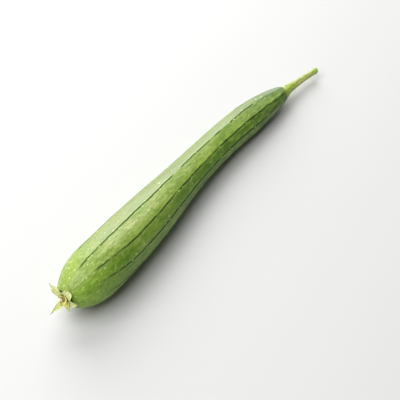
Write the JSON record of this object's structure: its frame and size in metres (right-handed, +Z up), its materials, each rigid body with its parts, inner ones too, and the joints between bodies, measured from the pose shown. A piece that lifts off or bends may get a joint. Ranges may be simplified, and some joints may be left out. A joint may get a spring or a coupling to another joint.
{
  "type": "sponge gourd",
  "caption": "Long smooth sponge gourd as picked, lying on its side, with low dark-lined ridges, a cut stem and a dried calyx at the blossom end.",
  "frame": {"origin": "bottom centre of the whole part's box, on the surface that it lies on", "axes": "+X along the fruit from the blossom end to the stem, +Z up from the surface that it lies on"},
  "size_m": [0.4695, 0.0597, 0.0597],
  "materials": {
    "fruit": "satin",
    "stem": "matte",
    "calyx": "matte",
    "withered_flower": "matte"
  },
  "bodies": {
    "root": {"fruit": "fruit", "stem": "stem", "calyx": "calyx", "withered_flower": "withered_flower"}
  },
  "joints": []
}
